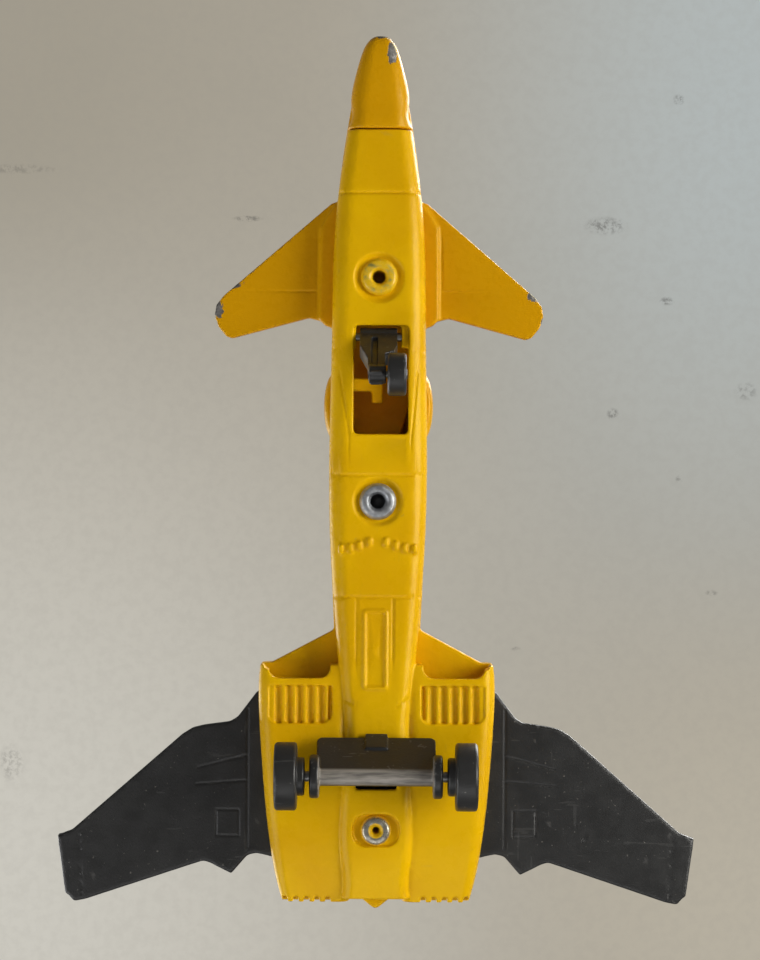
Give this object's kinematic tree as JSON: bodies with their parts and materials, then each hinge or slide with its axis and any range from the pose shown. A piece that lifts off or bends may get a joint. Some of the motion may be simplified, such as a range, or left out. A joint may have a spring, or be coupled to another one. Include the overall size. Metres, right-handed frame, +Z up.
{
  "type": "toy airplane",
  "caption": "Die-cast toy jet with canards, black moulded swept wing, folding nose gear and a raked main gear whose wheels turn on a shared axle.",
  "frame": {"origin": "middle of the bounding box in plan, at the surface the three wheels stand on", "axes": "+Y points to the tail along the fuselage, +Z is up, X is across the wings"},
  "size_m": [0.0736, 0.1002, 0.0255],
  "materials": {
    "yellow_paint_upper": "gloss enamel over zinc, worn to bare metal on the nose and canard tips",
    "yellow_paint_lower": "gloss enamel over zinc",
    "black_wing_plastic": "satin moulded plastic",
    "black_gear_plastic": "semi-gloss moulded plastic, scuffed",
    "black_wheel_plastic": "semi-gloss moulded plastic",
    "smoke_canopy": "smoke-tinted clear plastic",
    "painted_rivet": "rolled head, paint worn off the ring",
    "bare_rivet": "bare rolled head, dull",
    "steel": "drawn wire"
  },
  "bodies": {
    "airframe": {"upper_body": "yellow_paint_upper", "lower_base": "yellow_paint_lower", "wing_insert": "black_wing_plastic", "canopy": "smoke_canopy", "front_rivet": "painted_rivet", "mid_rivet": "bare_rivet", "rear_rivet": "painted_rivet", "nose_gear_pin": "steel", "main_gear_strut": "black_gear_plastic"},
    "nose_gear": {"nose_gear_leg": "black_gear_plastic", "nose_wheel_axle": "steel"},
    "nose_wheel_body": {"nose_wheel": "black_wheel_plastic"},
    "main_wheel_set": {"main_axle": "steel", "left_main_wheel": "black_wheel_plastic", "right_main_wheel": "black_wheel_plastic"}
  },
  "joints": [
    {"name": "nose_gear_fold", "type": "hinge", "parent": "airframe", "child": "nose_gear", "pos_m": [0, -0.0154, 0.0095], "axis": [1, 0, 0], "range_deg": [0, 60]},
    {"name": "nose_wheel_spin", "type": "hinge", "parent": "nose_gear", "child": "nose_wheel_body", "pos_m": [0.002, -0.0109, 0.0024], "axis": [1, 0, 0], "continuous": true},
    {"name": "main_wheels_spin", "type": "hinge", "parent": "airframe", "child": "main_wheel_set", "pos_m": [0, 0.034, 0.0038], "axis": [1, 0, 0], "continuous": true}
  ]
}
